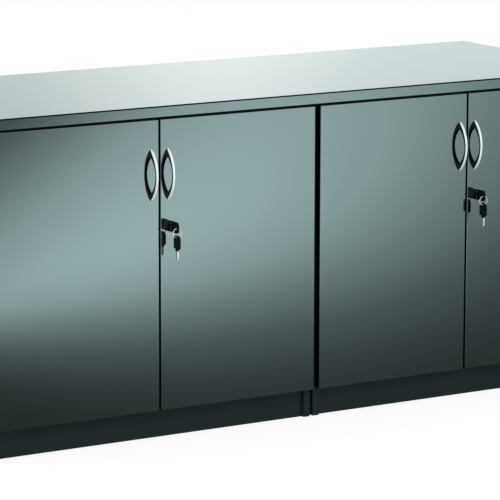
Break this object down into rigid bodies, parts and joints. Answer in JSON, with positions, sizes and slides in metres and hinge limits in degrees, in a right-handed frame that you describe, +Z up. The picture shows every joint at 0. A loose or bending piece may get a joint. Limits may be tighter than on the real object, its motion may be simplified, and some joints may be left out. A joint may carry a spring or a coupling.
{
  "type": "office credenza",
  "caption": "Long office credenza: gloss graphite doors with silver bow handles and keyed locks on two side-by-side cupboards under one full-length worktop.",
  "frame": {"origin": "on the floor, at the middle of the whole object's footprint, with the handles and keys in front counted in", "axes": "+X along the worktop to the right as seen from the front, +Y from the doors to the back, +Z up"},
  "size_m": [1.6, 0.6428, 0.725],
  "materials": {
    "gloss_board": "high-gloss graphite film on board, edges banded to match",
    "carcass_board": "satin graphite melamine on chipboard",
    "handle_metal": "satin silver",
    "lock_nickel": "bright nickel plate",
    "lock_black": "black nickel plate",
    "key_plastic": "moulded black",
    "fitting_steel": "nickel-plated steel",
    "buffer_plastic": "soft translucent"
  },
  "bodies": {
    "carcass": {"bolt_strikes": "fitting_steel", "door_buffers": "buffer_plastic", "hinge_arms": "fitting_steel", "hinge_pins": "fitting_steel", "hinge_plates": "fitting_steel", "left_cupboard_back": "carcass_board", "left_cupboard_bottom": "carcass_board", "left_cupboard_left_side": "carcass_board", "left_cupboard_plinth": "carcass_board", "left_cupboard_rails": "carcass_board", "left_cupboard_right_side": "carcass_board", "left_cupboard_shelf": "carcass_board", "rail_screws": "fitting_steel", "right_cupboard_back": "carcass_board", "right_cupboard_bottom": "carcass_board", "right_cupboard_left_side": "carcass_board", "right_cupboard_plinth": "carcass_board", "right_cupboard_rails": "carcass_board", "right_cupboard_right_side": "carcass_board", "right_cupboard_shelf": "carcass_board", "shelf_pegs": "fitting_steel", "worktop": "gloss_board"},
    "door_1": {"door_1_bolt_case": "fitting_steel", "door_1_handle": "handle_metal", "door_1_handle_screws": "fitting_steel", "door_1_hinge_cups": "fitting_steel", "door_1_panel": "gloss_board"},
    "door_1_bolt": {"door_1_bolt": "fitting_steel"},
    "door_2": {"door_2_handle": "handle_metal", "door_2_handle_screws": "fitting_steel", "door_2_hinge_cups": "fitting_steel", "door_2_lock_case": "lock_black", "door_2_lock_nut": "lock_nickel", "door_2_panel": "gloss_board"},
    "door_2_key": {"door_2_key_blade": "lock_nickel", "door_2_key_head": "key_plastic", "door_2_lock_cam": "lock_nickel", "door_2_lock_plug": "lock_nickel"},
    "door_2_ring": {"door_2_key_ring": "lock_nickel"},
    "door_2_spare": {"door_2_spare_key_blade": "lock_nickel", "door_2_spare_key_head": "key_plastic"},
    "door_3": {"door_3_bolt_case": "fitting_steel", "door_3_handle": "handle_metal", "door_3_handle_screws": "fitting_steel", "door_3_hinge_cups": "fitting_steel", "door_3_panel": "gloss_board"},
    "door_3_bolt": {"door_3_bolt": "fitting_steel"},
    "door_4": {"door_4_handle": "handle_metal", "door_4_handle_screws": "fitting_steel", "door_4_hinge_cups": "fitting_steel", "door_4_lock_case": "lock_black", "door_4_lock_nut": "lock_nickel", "door_4_panel": "gloss_board"},
    "door_4_key": {"door_4_key_blade": "lock_nickel", "door_4_key_head": "key_plastic", "door_4_lock_cam": "lock_nickel", "door_4_lock_plug": "lock_nickel"},
    "door_4_ring": {"door_4_key_ring": "lock_nickel"},
    "door_4_spare": {"door_4_spare_key_blade": "lock_nickel", "door_4_spare_key_head": "key_plastic"}
  },
  "joints": [
    {"name": "door_1_hinge", "type": "hinge", "parent": "carcass", "child": "door_1", "pos_m": [-0.7775, -0.26945, 0.3805], "axis": [0, 0, -1], "range_deg": [0, 95]},
    {"name": "door_2_hinge", "type": "hinge", "parent": "carcass", "child": "door_2", "pos_m": [-0.0145, -0.26945, 0.3805], "axis": [0, 0, 1], "range_deg": [0, 85]},
    {"name": "door_3_hinge", "type": "hinge", "parent": "carcass", "child": "door_3", "pos_m": [0.0145, -0.26945, 0.3805], "axis": [0, 0, -1], "range_deg": [0, 85]},
    {"name": "door_4_hinge", "type": "hinge", "parent": "carcass", "child": "door_4", "pos_m": [0.7775, -0.26945, 0.3805], "axis": [0, 0, 1], "range_deg": [0, 95]},
    {"name": "door_1_bolt_slide", "type": "slide", "parent": "door_1", "child": "door_1_bolt", "axis": [0, 0, 1], "range_m": [0, 0.012]},
    {"name": "door_3_bolt_slide", "type": "slide", "parent": "door_3", "child": "door_3_bolt", "axis": [0, 0, 1], "range_m": [0, 0.012]},
    {"name": "door_2_lock", "type": "hinge", "parent": "door_2", "child": "door_2_key", "pos_m": [-0.37175, -0.2684, 0.466], "axis": [0, 1, 0], "range_deg": [0, 90]},
    {"name": "door_2_ring_swing", "type": "hinge", "parent": "door_2_key", "child": "door_2_ring", "pos_m": [-0.37175, -0.30935, 0.466], "axis": [-1, 0, 0], "range_deg": [-20, 35]},
    {"name": "door_2_spare_hang", "type": "hinge", "parent": "door_2_ring", "child": "door_2_spare", "pos_m": [-0.37175, -0.30935, 0.455], "axis": [0, 1, 0], "range_deg": [-90, 0]},
    {"name": "door_4_lock", "type": "hinge", "parent": "door_4", "child": "door_4_key", "pos_m": [0.42025, -0.2684, 0.466], "axis": [0, 1, 0], "range_deg": [0, 90]},
    {"name": "door_4_ring_swing", "type": "hinge", "parent": "door_4_key", "child": "door_4_ring", "pos_m": [0.42025, -0.30935, 0.466], "axis": [-1, 0, 0], "range_deg": [-20, 35]},
    {"name": "door_4_spare_hang", "type": "hinge", "parent": "door_4_ring", "child": "door_4_spare", "pos_m": [0.42025, -0.30935, 0.455], "axis": [0, 1, 0], "range_deg": [-90, 0]}
  ],
  "couplings": [
    {"joint": "door_2_spare_hang", "follows": "door_2_lock", "ratio": -1},
    {"joint": "door_4_spare_hang", "follows": "door_4_lock", "ratio": -1}
  ]
}
